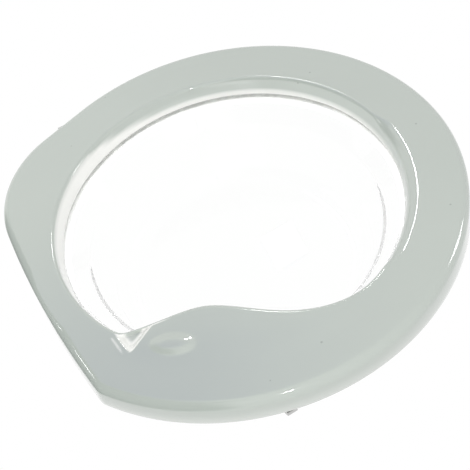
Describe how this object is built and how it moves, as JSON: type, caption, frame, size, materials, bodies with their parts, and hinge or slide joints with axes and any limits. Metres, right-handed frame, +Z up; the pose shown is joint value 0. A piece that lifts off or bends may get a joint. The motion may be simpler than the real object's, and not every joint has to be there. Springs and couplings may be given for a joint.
{
  "type": "washing machine door",
  "caption": "Round porthole door for a front-loading washing machine: moulded ring with a raised grip lip, glass bowl, rear frame, side hinge and sprung latch hook.",
  "frame": {"origin": "middle of the hinge bracket's four screw holes, on the plane where the bracket meets the cabinet", "axes": "+X to the right across the closed door as seen from the front, +Y into the machine, +Z up"},
  "size_m": [0.474, 0.1147, 0.447],
  "materials": {
    "frame_plastic": "glossy",
    "inner_plastic": "satin",
    "glass": "clear",
    "rubber": "matte",
    "cast_metal": "cast",
    "steel": "zinc plated",
    "bush_plastic": "matte"
  },
  "bodies": {
    "bracket": {"hinge_bracket": "cast_metal", "hinge_pin": "steel", "hinge_pin_clip": "steel"},
    "door": {"front_frame": "frame_plastic", "grip_liner": "inner_plastic", "glass_gasket": "rubber", "glass_bowl": "glass", "rear_frame": "inner_plastic", "frame_screws": "steel", "stop_buffers": "rubber", "hinge_arm": "cast_metal", "hinge_arm_screws": "steel", "hinge_backing_plate": "steel", "hinge_bush_upper": "bush_plastic", "hinge_bush_lower": "bush_plastic", "latch_carrier": "inner_plastic", "latch_pin": "steel", "latch_spring": "steel", "latch_screws": "steel"},
    "hook": {"latch_hook": "cast_metal"}
  },
  "joints": [
    {"name": "door_swing", "type": "hinge", "parent": "bracket", "child": "door", "pos_m": [-0.0195, -0.014, 0], "axis": [0, 0, -1], "range_deg": [0, 110]},
    {"name": "hook_pivot", "type": "hinge", "parent": "door", "child": "hook", "pos_m": [0.409, -0.018, -0.018], "axis": [0, 0, 1], "range_deg": [0, 10], "stiffness_Nm_per_rad": 0.1, "springref_deg": -28.65, "deforming": ["latch_spring"]}
  ]
}
